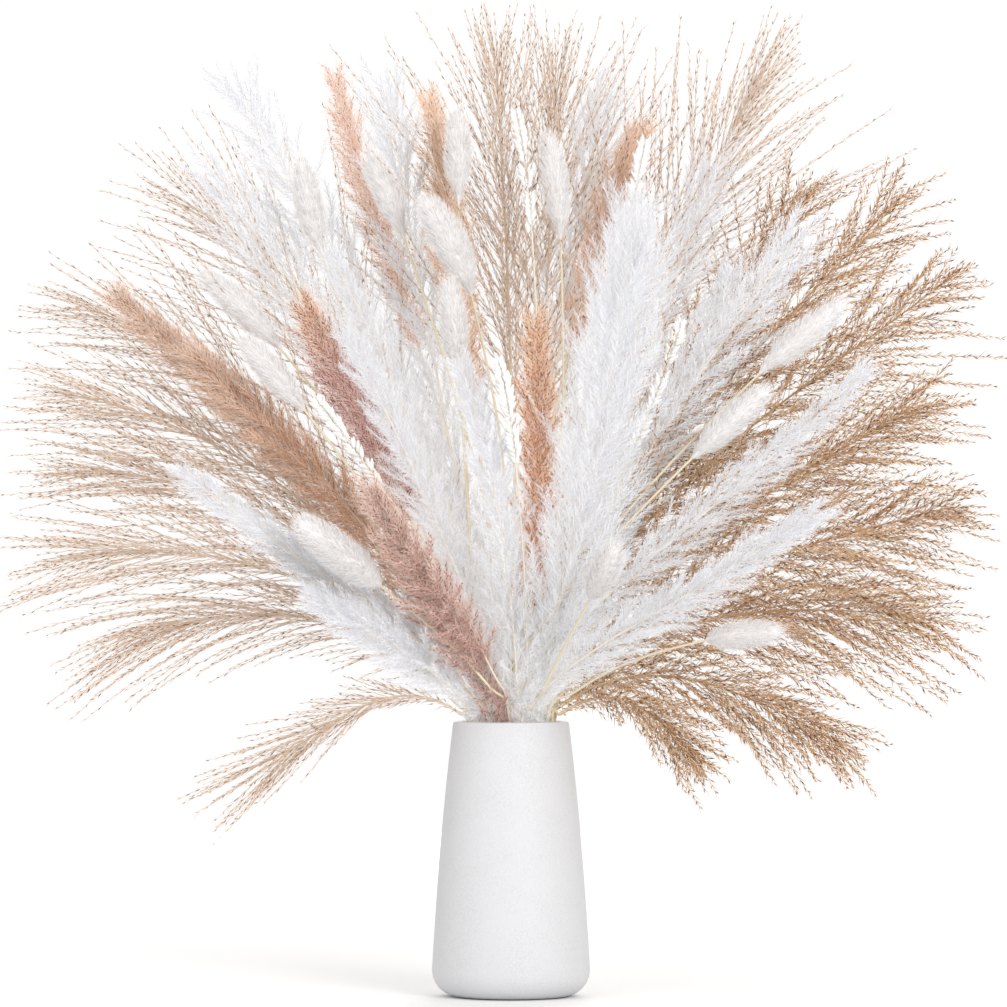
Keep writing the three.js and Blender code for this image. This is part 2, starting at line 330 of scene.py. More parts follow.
def scatter(tree, points, shape, rotation, size, row, selection=True):
    # sets the shape on every point, and each of its corners keeps its place on it, for the UV
    position = place(tree, "GeometryNodeInputPosition").outputs[0]
    shape = store(tree, shape, "hairPlace", position, "FLOAT_VECTOR")
    coat = place(tree, "GeometryNodeInstanceOnPoints", {
        "Points": points, "Selection": selection, "Instance": shape, "Rotation": rotation,
        "Scale": size}).outputs[0]
    coat = place(tree, "GeometryNodeRealizeInstances", {"Geometry": coat}).outputs[0]
    spot = place(tree, "ShaderNodeSeparateXYZ", {0: named(tree, "hairPlace", "FLOAT_VECTOR")}).outputs
    part = scaledBy(tree, spot["Z"], uvLayout["strandLength"],
                    scaledBy(tree, spot["X"], uvLayout["strandWidth"], uvLayout["rootMargin"]))
    up = scaledBy(tree, named(tree, "shade"), uvLayout["shadeHeight"], row)
    up = maths(tree, "ADD", up, maths(tree, "MULTIPLY", spot["Y"], uvLayout["strandDepth"]))
    return strandUv(tree, coat, inBand(tree, named(tree, "band"), part), up)


coatHabit = {
    "rows": {"Hair": "hairRow", "Spikelet": "spikeletRow"}, "firstSeeds": {"Hair": 4, "Spikelet": 10},
    "drift": 1.6,  # bands that a strand's colour may stray from its place on the head
    "lean": (0.5, 1.35), "length": (0.6, 1.1), "turn": 0.6,
    "lengthAlong": [0.5, 0.95, 1.0, 0.9, 0.62],  # from the branchlet's root to its end
}


def coatOf(tree, given, prefix, branchlets, shape):
    # hairs or spikelets all the way along the branchlets
    along = named(tree, "along")
    seeds = seedRow(tree, given, coatHabit["firstSeeds"][prefix], 5)
    knots = place(tree, "GeometryNodeResampleCurve", {
        "Curve": branchlets, "Length": given[prefix + " Spacing"]}, mode="LENGTH").outputs[0]
    lastBand = uvLayout["bands"] - 1
    drift = randomValue(tree, 0.0, coatHabit["drift"], seeds[0])
    band = maths(tree, "FLOOR", scaledBy(tree, named(tree, "headShare"), lastBand, drift))
    band = maths(tree, "MINIMUM", band, lastBand)
    knots = store(tree, knots, "band", band)
    knots = store(tree, knots, "shade", randomValue(tree, 0.0, 1.0, seeds[1]))
    lean = randomValue(tree, *coatHabit["lean"], seeds[2])
    lean = maths(tree, "MULTIPLY", given[prefix + " Opening"], lean)
    length = maths(tree, "MULTIPLY", shapedBy(tree, along, coatHabit["lengthAlong"]),
                   randomValue(tree, *coatHabit["length"], seeds[3]))
    radius = given[prefix + " Radius"]
    size = vector(tree, radius, radius, maths(tree, "MULTIPLY", length, given[prefix + " Length"]))
    tangent = place(tree, "GeometryNodeInputTangent").outputs[0]
    rotation = springing(tree, tangent, lean, coatHabit["turn"], seeds[4])
    past = maths(tree, "GREATER_THAN", along, given[prefix + " Bare Share"])
    return scatter(tree, knots, shape, rotation, size, uvLayout[coatHabit["rows"][prefix]], past)


branchletHabit = {"steps": 6, "opening": (0.75, 1.3), "turn": 0.5, "swayTurns": 47.0, "bendPower": 2.0,
                  "thinning": 0.75}


def buildStrandTree():
    # branchlets that spiral off the head and bend, with hairs and spikelets on them
    coatInputs = [("Spacing", 0.0003), ("Length", 0.006), ("Radius", 0.0002), ("Opening", 0.6),
                  ("Bare Share", 0.1)]
    tree, given, result = newTree("strandTree", [
        ("Branchlets", "NodeSocketInt", 80), ("Branchlet Radius", "NodeSocketFloat", 0.0002),
        ("Curl", "NodeSocketFloat", 0.0), ("Droop", "NodeSocketFloat", 0.1),
        ("Sway", "NodeSocketFloat", 0.1), ("Unevenness", "NodeSocketFloat", 0.2)]
        + [(prefix + label, "NodeSocketFloat", value) for prefix in ("Hair ", "Spikelet ")
           for label, value in coatInputs])
    seeds = seedRow(tree, given, 0, 4)
    head = headCurve(tree, given, given["Branchlets"])
    least = maths(tree, "SUBTRACT", 1.0, given["Unevenness"])
    uneven = randomValue(tree, least, maths(tree, "ADD", 1.0, given["Unevenness"]), seeds[0])
    head = store(tree, head, "length", maths(tree, "MULTIPLY", named(tree, "reach"), uneven))
    head = store(tree, head, "chance", randomValue(tree, 0.0, 1.0, seeds[1]))
    opening = maths(tree, "MULTIPLY", named(tree, "opening"),
                    randomValue(tree, *branchletHabit["opening"], seeds[2]))

    steps = branchletHabit["steps"]
    line = place(tree, "GeometryNodeMeshLine", {"Count": steps + 1, "Offset": (0, 0, 1 / steps)}).outputs[0]
    index = place(tree, "GeometryNodeInputIndex").outputs[0]
    line = store(tree, line, "along", maths(tree, "DIVIDE", index, steps))
    axis = named(tree, "axis", "FLOAT_VECTOR")
    spread = place(tree, "GeometryNodeInstanceOnPoints", {
        "Points": head, "Instance": line, "Scale": named(tree, "length"),
        "Rotation": springing(tree, axis, opening, branchletHabit["turn"], seeds[3])}).outputs[0]
    spread = place(tree, "GeometryNodeRealizeInstances", {"Geometry": spread}).outputs[0]

    along = named(tree, "along")
    pull = maths(tree, "POWER", along, branchletHabit["bendPower"])
    pull = maths(tree, "MULTIPLY", named(tree, "length"), pull)
    side = maths(tree, "MULTIPLY", named(tree, "chance"), branchletHabit["swayTurns"])
    sway = vector(tree, maths(tree, "MULTIPLY", maths(tree, "COSINE", side), given["Sway"]),
                  maths(tree, "MULTIPLY", maths(tree, "SINE", side), given["Sway"]),
                  maths(tree, "MULTIPLY", given["Droop"], -1.0))
    bend = vectorMaths(tree, "ADD", vectorMaths(tree, "SCALE", axis, scale=given["Curl"]), sway)
    spread = place(tree, "GeometryNodeSetPosition", {
        "Geometry": spread, "Offset": vectorMaths(tree, "SCALE", bend, scale=pull)}).outputs[0]
    branchlets = place(tree, "GeometryNodeMeshToCurve", {"Mesh": spread}).outputs[0]

    thinning = scaledBy(tree, along, -branchletHabit["thinning"], 1.0)
    twigs = tubeOver(tree, branchlets, 3, maths(tree, "MULTIPLY", given["Branchlet Radius"], thinning))
    part = scaledBy(tree, along, uvLayout["twigLength"], uvLayout["twigMargin"])
    twigs = strandUv(tree, twigs, inBand(tree, bandOf(tree), part),
                     scaledBy(tree, roundShare(tree), uvLayout["roundHeight"], uvLayout["twigRow"]))
    hairs = coatOf(tree, given, "Hair", branchlets, hairShape(tree))
    spikelets = coatOf(tree, given, "Spikelet", branchlets, spindleShape(tree, 3, 2, 0))
    return finishTree(tree, given, result, (stemTube(tree, given), twigs), (hairs, spikelets))


furHabit = {"bodySteps": 26, "bodySides": 16, "lean": (0.5, 1.5), "tilt": 0.18, "length": (0.6, 1.15)}


def buildTuftTree():
    # short fur lying along a smooth oval body
    tree, given, result = newTree("tuftTree", [
        ("Hair Density", "NodeSocketFloat", 1.6e6), ("Hair Length", "NodeSocketFloat", 0.004),
        ("Hair Radius", "NodeSocketFloat", 0.0001), ("Hair Opening", "NodeSocketFloat", 0.5)])
    seeds = seedRow(tree, given, 0, 6)
    body = tubeOver(tree, headCurve(tree, given, furHabit["bodySteps"]), furHabit["bodySides"],
                    named(tree, "reach"))
    body = store(tree, body, "band", bandOf(tree))
    lowest = uvLayout["spikeletRow"] + uvLayout["rowGap"]
    body = strandUv(tree, body, scaledBy(tree, named(tree, "headShare"), *uvLayout["bodyAcross"]),
                    scaledBy(tree, roundShare(tree), uvLayout["bodyHeight"], lowest))
    roots = place(tree, "GeometryNodeDistributePointsOnFaces", {
        "Mesh": body, "Density": given["Hair Density"], "Seed": seeds[0]})
    points = store(tree, roots.outputs["Points"], "shade", randomValue(tree, 0.0, 1.0, seeds[1]))
    lean = maths(tree, "MULTIPLY", given["Hair Opening"], randomValue(tree, *furHabit["lean"], seeds[2]))
    aim = vectorMaths(tree, "ADD", named(tree, "axis", "FLOAT_VECTOR"),
                      vectorMaths(tree, "SCALE", roots.outputs["Normal"], scale=lean))
    rotation = turned(tree, aimedAlong(tree, aim), (0, 0, 1), randomValue(tree, 0.0, 6.28, seeds[3]))
    rotation = turned(tree, rotation, (1, 0, 0),
                      randomValue(tree, -furHabit["tilt"], furHabit["tilt"], seeds[4]))
    length = maths(tree, "MULTIPLY", given["Hair Length"], randomValue(tree, *furHabit["length"], seeds[5]))
    size = vector(tree, given["Hair Radius"], given["Hair Radius"], length)
    fur = scatter(tree, points, hairShape(tree), rotation, size, uvLayout["hairRow"])
    return finishTree(tree, given, result, (stemTube(tree, given), body), (fur,))


scaleHabit = {
    "turn": 0.5, "lean": (0.6, 1.3), "length": (0.85, 1.15),
    "segments": 8, "rings": 6, "outShift": 0.45,  # of its thickness, away from the stem
    "taper": 0.55, "leastReach": 0.05,  # below which a stretch of the head has no scales
}


def buildEarTree():
    # plump scales in two rows, thick in some stretches of the head and missing between them
    tree, given, result = newTree("earTree", [
        ("Scales", "NodeSocketInt", 60), ("Scale Length", "NodeSocketFloat", 0.0042),
        ("Scale Width", "NodeSocketFloat", 0.0013), ("Scale Thickness", "NodeSocketFloat", 0.0008),
        ("Scale Opening", "NodeSocketFloat", 0.45), ("Roll", "NodeSocketFloat", 0.0)])
    seeds = seedRow(tree, given, 1, 4)
    points = headCurve(tree, given, given["Scales"])
    points = store(tree, points, "band", bandOf(tree))
    points = store(tree, points, "shade", randomValue(tree, 0.0, 1.0, seeds[0]))
    turn = scaledBy(tree, place(tree, "GeometryNodeInputIndex").outputs[0], math.pi, given["Roll"])
    turn = maths(tree, "ADD", turn, randomValue(tree, -scaleHabit["turn"], scaleHabit["turn"], seeds[1]))
    rotation = turned(tree, aimedAlong(tree, named(tree, "axis", "FLOAT_VECTOR")), (0, 0, 1), turn)
    lean = maths(tree, "MULTIPLY", given["Scale Opening"], randomValue(tree, *scaleHabit["lean"], seeds[2]))
    rotation = turned(tree, rotation, (0, 1, 0), lean)
    reach = named(tree, "reach")
    length = maths(tree, "MULTIPLY", maths(tree, "MULTIPLY", reach, given["Scale Length"]),
                   randomValue(tree, *scaleHabit["length"], seeds[3]))
    size = vector(tree, maths(tree, "MULTIPLY", reach, given["Scale Thickness"]),
                  maths(tree, "MULTIPLY", reach, given["Scale Width"]), length)

    # a scale narrows towards its end
    scale = spindleShape(tree, scaleHabit["segments"], scaleHabit["rings"], scaleHabit["outShift"])
    position = place(tree, "GeometryNodeInputPosition").outputs[0]
    height = place(tree, "ShaderNodeSeparateXYZ", {0: position}).outputs["Z"]
    narrowing = maths(tree, "POWER", maths(tree, "MAXIMUM", height, 0.0), 2.0)
    narrowing = maths(tree, "MULTIPLY", narrowing, -scaleHabit["taper"])
    inwards = vectorMaths(tree, "MULTIPLY", position, (1, 1, 0))
    inwards = vectorMaths(tree, "SCALE", inwards, scale=narrowing)
    scale = place(tree, "GeometryNodeSetPosition", {"Geometry": scale, "Offset": inwards}).outputs[0]
    ear = scatter(tree, points, scale, rotation, size, uvLayout["spikeletRow"],
                  maths(tree, "GREATER_THAN", reach, scaleHabit["leastReach"]))
    return finishTree(tree, given, result, (stemTube(tree, given), ear), ())


strandTree = buildStrandTree()
tuftTree = buildTuftTree()
earTree = buildEarTree()
print("growing trees ready")

strandFinish = {
    "specular": 0.2, "sheenRoughness": 0.5,
    "dimSteps": 90.0, "dimTurn": 0.618,  # steps in the UV's height, each dimmed by its own chance
    "twigTint": 0.7,  # of the head's own colour at a branchlet's end
    "alongStretch": (1.2, -0.1), "stemFade": (3.0, -1.4),
}


def blended(tree, factor, first, second, mode="MIX"):
    made = place(tree, "ShaderNodeMix", data_type="RGBA", blend_type=mode)
    for value, socket in ((factor, made.inputs[0]), (first, made.inputs[6]), (second, made.inputs[7])):
        link(tree, value, socket)
    return made.outputs[2]


def buildStrandLook():
    tree = bpy.data.node_groups.new("strandLook", "ShaderNodeTree")
    # Root Shade is painted shade: it darkens each hair towards its root, deep inside the head
    for label in ("Foot", "Middle", "Tip", "Root Shade", "End Tint", "Odd Hair", "Spikelet", "Odd Spikelet",
                  "Twig", "Stem"):
        tree.interface.new_socket(label, in_out="INPUT", socket_type="NodeSocketColor")
    for label in ("Odd Share", "Odd Spikelet Share", "Unevenness"):
        tree.interface.new_socket(label, in_out="INPUT", socket_type="NodeSocketFloat")
    tree.interface.new_socket("Colour", in_out="OUTPUT", socket_type="NodeSocketColor")
    given = tree.nodes.new("NodeGroupInput").outputs
    result = tree.nodes.new("NodeGroupOutput").inputs[0]
    uv = place(tree, "ShaderNodeUVMap", uv_map="OFBake").outputs[0]
    uv = place(tree, "ShaderNodeSeparateXYZ", {0: uv}).outputs

    def above(row):
        return maths(tree, "GREATER_THAN", uv["Y"], uvLayout[row] - uvLayout["rowGap"])

    def oddOnes(row, share):
        shade = maths(tree, "SUBTRACT", uv["Y"], uvLayout[row])
        shade = maths(tree, "DIVIDE", shade, uvLayout["shadeHeight"])
        return maths(tree, "LESS_THAN", shade, given[share])

    # up the head from foot to tip, and along each strand from its root to its end
    scaled = maths(tree, "MULTIPLY", uv["X"], uvLayout["bands"])
    rise = maths(tree, "DIVIDE", maths(tree, "FLOOR", scaled), uvLayout["bands"] - 1)
    part = scaledBy(tree, maths(tree, "FRACT", scaled), *strandFinish["alongStretch"], clamp=True)
    head = blended(tree, maths(tree, "MULTIPLY", rise, 2.0, clamp=True), given["Foot"], given["Middle"])
    head = blended(tree, scaledBy(tree, rise, 2.0, -1.0, clamp=True), head, given["Tip"])
    # painted shade: each hair darkens from its end towards its root, where the other hairs would shade it
    paintedRootShade = blended(tree, part, given["Root Shade"], given["End Tint"])

    hair = blended(tree, oddOnes("hairRow", "Odd Share"), head, given["Odd Hair"])
    hair = blended(tree, 1.0, hair, paintedRootShade, "MULTIPLY")
    spikelet = blended(tree, oddOnes("spikeletRow", "Odd Spikelet Share"), given["Spikelet"],
                       given["Odd Spikelet"])
    coat = blended(tree, above("spikeletRow"), hair, spikelet)
    step = maths(tree, "ROUND", maths(tree, "MULTIPLY", uv["Y"], strandFinish["dimSteps"]))
    chance = maths(tree, "FRACT", maths(tree, "MULTIPLY", step, strandFinish["dimTurn"]))
    dim = maths(tree, "SUBTRACT", 1.0, maths(tree, "MULTIPLY", chance, given["Unevenness"]))
    grey = place(tree, "ShaderNodeCombineColor", {0: dim, 1: dim, 2: dim}).outputs[0]
    coat = blended(tree, 1.0, coat, grey, "MULTIPLY")

    twig = blended(tree, maths(tree, "MULTIPLY", part, strandFinish["twigTint"]), given["Twig"], head)
    fade = scaledBy(tree, uv["X"], *strandFinish["stemFade"], clamp=True)
    stem = blended(tree, fade, given["Stem"], given["Twig"])
    colour = blended(tree, above("twigRow"), coat, twig)
    colour = blended(tree, above("stemRow"), colour, stem)
    tree.links.new(colour, result)
    return tree


strandLook = buildStrandLook()


def srgb(hexText):
    # a hex colour as linear light
    parts = [int(hexText[i:i + 2], 16) / 255 for i in (0, 2, 4)]
    return [p / 12.92 if p < 0.04045 else ((p + 0.055) / 1.055) ** 2.4 for p in parts] + [1.0]


def newMaterial(name):
    material = bpy.data.materials.new(name)
    material.use_nodes = True
    return material, material.node_tree, material.node_tree.nodes["Principled BSDF"]


def strandMaterial(name, look):
    material, tree, shader = newMaterial(name)
    group = place(tree, "ShaderNodeGroup", node_tree=strandLook)
    for label, value in look.items():
        if label in group.inputs:
            group.inputs[label].default_value = srgb(value) if isinstance(value, str) else value
    tree.links.new(group.outputs[0], shader.inputs["Base Color"])
    shader.inputs["Roughness"].default_value = look["roughness"]
    shader.inputs["Specular IOR Level"].default_value = strandFinish["specular"]
    shader.inputs["Sheen Weight"].default_value = look["sheen"]
    shader.inputs["Sheen Roughness"].default_value = strandFinish["sheenRoughness"]
    return material


vase = {
    "segments": 144, "sharpAngle": 40, "colour": "cdcdcf", "speckColour": "c0bfc0",
    "grainScale": 1400.0, "grainDetail": 3.0, "mottleScale": 60.0, "mottleDetail": 2.0,
    "speckContrast": (5.0, -2.2), "bumpStrength": 0.5, "grainDepth": 0.00006, "roughness": (0.5, 0.66),
    "specular": 0.4,
}


def vaseProfile(node):
    # the wall's outline, walked from the middle of the foot, over the rim, to the middle of the floor
    shape = mergedShape(node)
    spine = [v for v in shape.verts if abs(v.co.y) < mergeDistance and v.co.x > -mergeDistance]
    walk = [min(spine, key=lambda v: (abs(v.co.x), v.co.z))]
    while len(walk) < len(spine):
        nearby = [e.other_vert(walk[-1]) for e in walk[-1].link_edges]
        onward = [v for v in nearby if v in spine and v not in walk]
        if not onward:
            break
        walk.append(min(onward, key=lambda v: (v.co - walk[-1].co).length))
    outline = [(v.co.x, v.co.z) for v in walk]
    shape.free()
    return outline


def ceramic():
    material, tree, shader = newMaterial("matteCeramic")
    position = place(tree, "ShaderNodeTexCoord").outputs["Object"]
    fine = place(tree, "ShaderNodeTexNoise", {
        "Vector": position, "Scale": vase["grainScale"], "Detail": vase["grainDetail"]}).outputs[0]
    broad = place(tree, "ShaderNodeTexNoise", {
        "Vector": position, "Scale": vase["mottleScale"], "Detail": vase["mottleDetail"]}).outputs[0]
    speck = maths(tree, "MULTIPLY", scaledBy(tree, fine, *vase["speckContrast"], clamp=True), broad)
    colour = blended(tree, speck, srgb(vase["colour"]), srgb(vase["speckColour"]))
    tree.links.new(colour, shader.inputs["Base Color"])
    low, high = vase["roughness"]
    tree.links.new(scaledBy(tree, fine, high - low, low), shader.inputs["Roughness"])
    bump = place(tree, "ShaderNodeBump", {
        "Strength": vase["bumpStrength"], "Distance": vase["grainDepth"], "Height": fine})
    tree.links.new(bump.outputs[0], shader.inputs["Normal"])
    shader.inputs["Specular IOR Level"].default_value = vase["specular"]
    return material


def makeVase(outline):
    # the outline is turned again with more sides than the frame's vase has
    count, rows = vase["segments"], len(outline) - 2
    turns = [2 * math.pi * i / count for i in range(count)]
    verts = [(0, 0, outline[0][1])]
    verts += [(r * math.cos(a), r * math.sin(a), z) for r, z in outline[1:-1] for a in turns]
    verts.append((0, 0, outline[-1][1]))
    faces = [(0, 1 + (i + 1) % count, 1 + i) for i in range(count)]
    for row in range(rows - 1):
        low, high = 1 + row * count, 1 + (row + 1) * count
        faces += [(low + i, low + (i + 1) % count, high + (i + 1) % count, high + i) for i in range(count)]
    last = 1 + (rows - 1) * count
    faces += [(last + i, last + (i + 1) % count, len(verts) - 1) for i in range(count)]
    mesh = bpy.data.meshes.new("vase_wall")
    mesh.from_pydata(verts, [], faces)
    mesh.shade_smooth()
    mesh.set_sharp_from_angle(angle=math.radians(vase["sharpAngle"]))
    piece = bpy.data.objects.new("vase_wall", mesh)
    bpy.context.scene.collection.objects.link(piece)
    piece.data.materials.append(ceramic())
    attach(piece, "root")
    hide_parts("vase")


vaseOutline = vaseProfile(nodes["vase"])
rimRadius, rimHeight = [round(size, 6) for size in max(vaseOutline, key=lambda spot: spot[1])]
makeVase(vaseOutline)
print("vase turned")


def swelling(fullest, foot, tip):
    # how far a head reaches out along its length: opening at the foot, closing at the tip
    def reachAt(share):
        share = np.clip(share, 0, 1)
        rise = foot + (1 - foot) * np.sin(np.clip(share / fullest, 0, 1) * math.pi / 2)
        fall = tip + (1 - tip) * np.cos(np.clip((share - fullest) / (1 - fullest), 0, 1) * math.pi / 2)
        return np.minimum(rise, fall)
    return reachAt


ovalEnd = 0.02


def oval(fullest):
    # the half width of a closed oval body, widest at a share of its length and never quite a point
    def widthAt(share):
        share = np.clip(share, 0, 1)
        bent = np.where(share < fullest, 0.5 * share / fullest,
                        0.5 + 0.5 * (share - fullest) / (1 - fullest))
        return np.sqrt(np.clip(1 - (2 * bent - 1) ** 2, ovalEnd ** 2, 1))
    return widthAt


scratchNames = ("headShare", "reach", "opening", "stemRadius", "around", "axis", "length", "chance",
                "along", "band", "shade", "hairPlace")
stemTaper = {"shares": [-0.2, 0, 1], "widths": [1, 0.85, 0.3]}
seedStep = 20
headRoom = {
    "spare": {0: -0.001, 2: 0.004},  # how far branchlets may pass the frame's box, across and up
    "depthSpare": 0.013,  # how far anything may pass it to the front or back
    "tipShare": 0.75,  # of the last branchlets' reach, taken off the head's line
    "leastSlope": 0.05,  # a branchlet nearly along a wall of the box still has an end to its room
    "rimSpare": 0.005, "leastReach": 0.001,  # branchlets stop this far from the vase's rim, or are this short
}


def roomFor(points, opening):
    # how far a branchlet may run from each point before it leaves the frame's box or meets the vase's rim
    heading = np.gradient(points, axis=0)
    heading /= np.linalg.norm(heading, axis=1)[:, None]
    room = np.full(len(points), 1.0)
    for axis, spare in headRoom["spare"].items():
        for side, wall in ((-1, cadBox[0][axis] - spare), (1, cadBox[1][axis] + spare)):
            away = np.arccos(np.clip(side * heading[:, axis], -1, 1))
            run = np.cos(np.clip(away - opening, 0, math.pi / 2 - headRoom["leastSlope"]))
            room = np.minimum(room, np.abs(wall - points[:, axis]) / run)
    fromRim = np.hypot(np.hypot(points[:, 0], points[:, 1]) - rimRadius, points[:, 2] - rimHeight)
    return np.minimum(room, np.maximum(fromRim - headRoom["rimSpare"], headRoom["leastReach"]))


def pressDepth(mesh):
    # what stands out past the frame's front or back is drawn in, more the further out it stands
    places = np.empty(len(mesh.vertices) * 3)
    mesh.vertices.foreach_get("co", places)
    depth = places[1::3]
    inside = np.clip(depth, cadBox[0][1], cadBox[1][1])
    spare = headRoom["depthSpare"]
    places[1::3] = inside + spare * np.tanh((depth - inside) / (2 * spare))
    mesh.vertices.foreach_set("co", places)
    mesh.update()


def inputLabel(key):
    # hairLength is the trees' input Hair Length
    return "".join(" " + c if c.isupper() else c for c in key).title()


def makeHead(node, head, tree, material, seed):
    points, share = smoothPath(walkRings(nodes[node]))
    start, end = head.get("start", 0.0), 1.0
    if "opening" in head:  # the last branchlets end where the frame's tip is
        headLength = np.linalg.norm(np.diff(points[share >= 0], axis=0), axis=1).sum()
        end -= headRoom["tipShare"] * head["reach"] * head["shape"](np.array([1.0]))[0] / headLength
        points, share = points[share <= end], share[share <= end]
    share = (share - start) / (end - start)
    mesh = pathMesh(node + "_path", points, share)
    opening = np.interp(share, [0, 1], head.get("opening", (0, 0)))
    reach = head["reach"] * head["shape"](share)
    if "scales" not in head:  # an ear's reach is a share of its scales' size, not a length
        reach = np.minimum(reach, roomFor(points, opening) / (1 + head.get("unevenness", 0)))
    radius = head["stemRadius"] * np.interp(share, stemTaper["shares"], stemTaper["widths"])
    for label, values in (("reach", reach), ("opening", opening), ("stemRadius", radius)):
        mesh.attributes.new(label, "FLOAT", "POINT").data.foreach_set("value", values.astype(np.float32))
    values = {inputLabel(key): value for key, value in head.items()}
    piece = grow(node + "_grown", mesh, tree, {**values, "Seed": seed, "Material": material})
    pressDepth(piece.data)
    for attribute in [a.name for a in piece.data.attributes if a.name in scratchNames]:
        piece.data.attributes.remove(piece.data.attributes[attribute])
    piece.visible_shadow = not head.get("letsLightThrough", False)
    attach(piece, "root")
    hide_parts(node)
    return piece


def growStems(kind, own, tree, materials):
    # every stem of one kind, with its own changes, in the one material or in one material each
    made = []
    for n in range(1, kind["count"] + 1):
        node, head = f"{kind['node']}_{n:02d}", {**kind, **own.get(n, {})}
        material = materials[(n - 1) % len(materials)]
        made.append(makeHead(node, head, tree, material, kind["firstSeed"] + n * seedStep))
    triangles = sum(len(face.vertices) - 2 for piece in made for face in piece.data.polygons)
    print(kind["node"], "grown:", len(made), "stems,", triangles, "triangles")


whitePlume = {
    "node": "white_pampas", "count": 15, "slot": "white_plume", "firstSeed": 0,
    "reach": 0.0180, "shape": swelling(0.5, 0.5, 0.55), "opening": (0.95, 0.5), "stemRadius": 0.0010,
    "start": -0.57, "branchlets": 250, "branchletRadius": 0.00016, "curl": 0.42, "droop": 0.05, "sway": 0.2,
    "unevenness": 0.24, "hairSpacing": 0.00050, "hairLength": 0.0070, "hairRadius": 0.00020,
    "hairOpening": 0.6, "hairBareShare": 0.2, "letsLightThrough": True,
    "spikeletSpacing": 0.1, "spikeletBareShare": 2.0,  # none at all
}
whiteLook = {
    "Foot": "fcfcfc", "Middle": "fafbfd", "Tip": "f1f2f5", "Root Shade": "e4e4e6", "End Tint": "ffffff",
    "Odd Hair": "f6efe7", "Twig": "eae4dc", "Stem": "e8decc", "Odd Share": 0.12, "Unevenness": 0.07,
    "roughness": 0.75, "sheen": 0.15,
}
looseWhite = {"reach": 0.0275, "shape": swelling(0.6, 0.4, 0.75), "branchlets": 210, "hairSpacing": 0.00075,
              "hairLength": 0.0095, "hairRadius": 0.00025}
whiteOwn = {n: looseWhite for n in (1, 2, 4, 7, 9, 10)}  # the plumes at the back are broad and loose
whiteOwn[8] = {"reach": 0.037, "shape": swelling(0.6, 0.65, 0.75), "branchlets": 440, "hairSpacing": 0.0008,
               "hairLength": 0.0110, "opening": (0.85, 0.45), "unevenness": 0.14}
growStems(whitePlume, whiteOwn, strandTree, [strandMaterial("whitePlume", whiteLook)])

blushPlume = {
    "node": "blush_pampas", "count": 8, "slot": "blush_plume", "firstSeed": 400,
    "reach": 0.0145, "shape": swelling(0.4, 0.55, 0.55), "opening": (0.85, 0.45), "stemRadius": 0.0010,
    "start": -0.1, "branchlets": 180, "branchletRadius": 0.00014, "curl": 0.3, "droop": 0.05, "sway": 0.16,
    "unevenness": 0.28, "hairSpacing": 0.00060, "hairLength": 0.0110, "hairRadius": 0.00016,
    "hairOpening": 0.62, "hairBareShare": 0.05, "spikeletSpacing": 0.0017, "spikeletLength": 0.0040,
    "spikeletRadius": 0.00026, "spikeletOpening": 0.5, "spikeletBareShare": 0.1,
}
blushLook = {
    "Foot": "ecd2be", "Middle": "f3dcca", "Tip": "f6e2d2", "Root Shade": "eadace", "End Tint": "ffffff",
    "Odd Hair": "fdf4ee", "Spikelet": "d6a482", "Odd Spikelet": "94604a", "Twig": "c09070", "Stem": "e4d8c0",
    "Odd Share": 0.3, "Odd Spikelet Share": 0.4, "Unevenness": 0.12, "roughness": 0.7, "sheen": 0.3,
}
blushOwn = {  # both the growth and the look of each, as they differ from one plume to the next
    1: {"Middle": "f8eae4", "Tip": "faf0ea", "letsLightThrough": True},
    2: {"Middle": "f8e0c6", "Foot": "f0d4b4", "Tip": "fae8d4", "letsLightThrough": True},
    3: {"Middle": "f4d8be", "Foot": "e6c6a8", "reach": 0.0175},
    4: {"Middle": "f0d0b4", "Foot": "e2be9e", "reach": 0.0190, "start": -0.3},
    5: {"Foot": "e2c2be", "Middle": "dcb6b2", "Tip": "fadcbe", "Spikelet": "8c544e", "Odd Spikelet": "4c2622",
        "spikeletSpacing": 0.0009, "reach": 0.0170, "letsLightThrough": True},
    6: {"Foot": "fadcd6", "Middle": "f8d8d0", "Tip": "fae6dc", "Spikelet": "b87a70", "Odd Spikelet": "723e38",
        "spikeletSpacing": 0.0012, "reach": 0.0205, "start": -0.57, "branchlets": 200},
    7: {"Foot": "e6ac84", "Middle": "fad2ae", "Tip": "fee4c6", "Spikelet": "aa5e38", "Odd Spikelet": "5c2818",
        "spikeletSpacing": 0.0009, "reach": 0.0160, "letsLightThrough": True},
    8: {"Middle": "fae2ce", "Tip": "fce4cc", "letsLightThrough": True},
}
growStems(blushPlume, blushOwn, strandTree,
          [strandMaterial(f"blushPlume{n}", {**blushLook, **blushOwn[n]}) for n in blushOwn])

lightReed = {
    "node": "light_reed", "count": 10, "slot": "light_reed_grass", "firstSeed": 700,
    "reach": 0.125, "shape": swelling(0.05, 0.95, 0.3), "opening": (0.7, 0.22), "stemRadius": 0.0009,
    "start": -0.35, "branchlets": 132, "branchletRadius": 0.00019, "curl": 0.12, "droop": 0.12, "sway": 0.08,
    "unevenness": 0.3, "hairSpacing": 0.0025, "hairLength": 0.0095, "hairRadius": 0.00020,
    "hairOpening": 0.26, "hairBareShare": 0.0, "spikeletSpacing": 0.0048, "spikeletLength": 0.0042,
    "spikeletRadius": 0.00030, "spikeletOpening": 0.3, "spikeletBareShare": 0.25,
}
lightReedLook = {
    "Foot": "dac5b6", "Middle": "e2d0c2", "Tip": "e6d4c4", "Root Shade": "eee2d8", "End Tint": "ffffff",
    "Odd Hair": "f8f2ea", "Spikelet": "cca888", "Odd Spikelet": "7c5636", "Twig": "d8c0a8", "Stem": "e0d2ba",
    "Odd Share": 0.25, "Odd Spikelet Share": 0.45, "Unevenness": 0.15, "roughness": 0.65, "sheen": 0.2,
}
